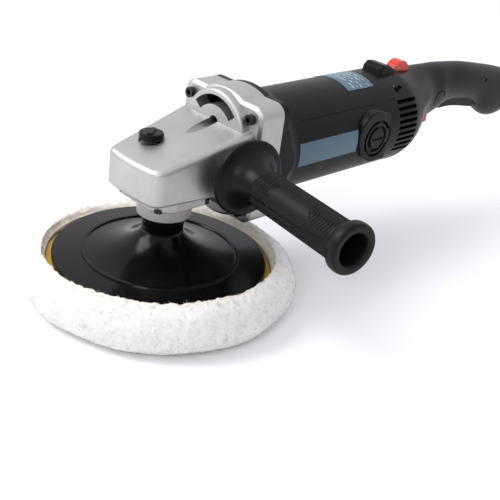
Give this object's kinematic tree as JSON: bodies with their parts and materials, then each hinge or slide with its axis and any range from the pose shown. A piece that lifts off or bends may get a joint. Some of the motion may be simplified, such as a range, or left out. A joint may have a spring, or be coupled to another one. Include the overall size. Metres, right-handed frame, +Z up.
{
  "type": "rotary polisher",
  "caption": "Corded rotary polisher with an angled metal gear head, side handle, tail grip and a white lambswool pad.",
  "frame": {"origin": "centre of the wool pad's working face, on the spindle axis", "axes": "+Z up along the spindle, +X along the motor axis towards the rear handle, -Y towards the side handle"},
  "size_m": [0.603, 0.288, 0.1632],
  "materials": {
    "cast_aluminium": "satin cast",
    "machined_steel": "machined",
    "hardened_gear_steel": "hardened",
    "laminated_steel": "laminated",
    "black_screw_steel": "black oxide",
    "sintered_bronze": "sintered",
    "brass_parts": "pressed",
    "copper_wire": "varnished copper wire",
    "carbon": "pressed carbon",
    "black_casing_plastic": "satin moulded",
    "black_gloss_plastic": "glossy moulded",
    "black_rubber": "moulded rubber",
    "inner_plastic": "moulded",
    "red_plastic": "moulded",
    "blue_label": "printed film",
    "yellow_loop": "looped pile",
    "hook_tape": "hook tape",
    "white_wool": "cut wool pile"
  },
  "bodies": {
    "tool": {"gear_housing": "cast_aluminium", "bearing_cover": "cast_aluminium", "gear_housing_screws": "black_screw_steel", "bearing_cover_screws": "black_screw_steel", "gear_plate": "cast_aluminium", "spindle_bearing_outer": "machined_steel", "spindle_bearing_balls": "machined_steel", "spindle_bush": "sintered_bronze", "front_bearing_outer": "machined_steel", "front_bearing_balls": "machined_steel", "rear_bearing_outer": "machined_steel", "rear_bearing_balls": "machined_steel", "motor_housing": "black_casing_plastic", "field_core": "laminated_steel", "field_coils": "copper_wire", "fan_baffle": "inner_plastic", "brush_holders": "brass_parts", "carbon_brushes": "carbon", "brush_springs": "brass_parts", "brush_caps": "black_casing_plastic", "side_label": "blue_label", "top_label": "blue_label", "rear_handle_left": "black_casing_plastic", "rear_handle_right": "black_casing_plastic", "handle_screws": "black_screw_steel", "switch_body": "inner_plastic", "speed_module": "inner_plastic", "trigger_pin": "machined_steel", "cord_bush": "black_rubber", "side_handle_grip": "black_rubber", "side_handle_stud": "machined_steel", "lock_spring": "machined_steel"},
    "spindle": {"spindle_shaft": "machined_steel", "spindle_bearing_inner": "machined_steel", "crown_gear": "hardened_gear_steel", "plate_insert": "machined_steel", "backing_plate": "black_gloss_plastic", "hook_layer": "hook_tape", "pad_backing": "yellow_loop", "wool_pad": "white_wool"},
    "armature": {"armature_shaft": "machined_steel", "bevel_pinion": "hardened_gear_steel", "front_bearing_inner": "machined_steel", "rear_bearing_inner": "machined_steel", "armature_core": "laminated_steel", "armature_windings": "copper_wire", "commutator": "copper_wire", "cooling_fan": "inner_plastic"},
    "lock_button": {"lock_button": "black_casing_plastic"},
    "trigger": {"trigger": "black_casing_plastic"},
    "lock_on_button": {"lock_on_button": "red_plastic"},
    "speed_dial": {"speed_dial": "red_plastic"}
  },
  "joints": [
    {"name": "spindle_spin", "type": "hinge", "parent": "tool", "child": "spindle", "pos_m": [0, 0, 0.05], "axis": [0, 0, 1], "continuous": true},
    {"name": "armature_spin", "type": "hinge", "parent": "tool", "child": "armature", "pos_m": [0.13, 0, 0.11025], "axis": [1, 0, 0], "continuous": true},
    {"name": "lock_press", "type": "slide", "parent": "tool", "child": "lock_button", "axis": [0, 0, -1], "range_m": [0, 0.004], "stiffness_N_per_m": 600, "springref_m": -0.003, "deforming": ["lock_spring"]},
    {"name": "trigger_squeeze", "type": "hinge", "parent": "tool", "child": "trigger", "pos_m": [0.35, 0, 0.112], "axis": [0, -1, 0], "range_deg": [0, 4.5], "stiffness_Nm_per_rad": 1.2, "springref_deg": -5.73},
    {"name": "lock_on_press", "type": "slide", "parent": "tool", "child": "lock_on_button", "axis": [0, 0, 1], "range_m": [0, 0.003], "stiffness_N_per_m": 300, "springref_m": -0.003},
    {"name": "speed_dial_turn", "type": "hinge", "parent": "tool", "child": "speed_dial", "pos_m": [0.275, 0, 0.147], "axis": [0, 1, 0], "range_deg": [-135, 135]}
  ],
  "couplings": [
    {"joint": "armature_spin", "follows": "spindle_spin", "ratio": 4.2222}
  ]
}
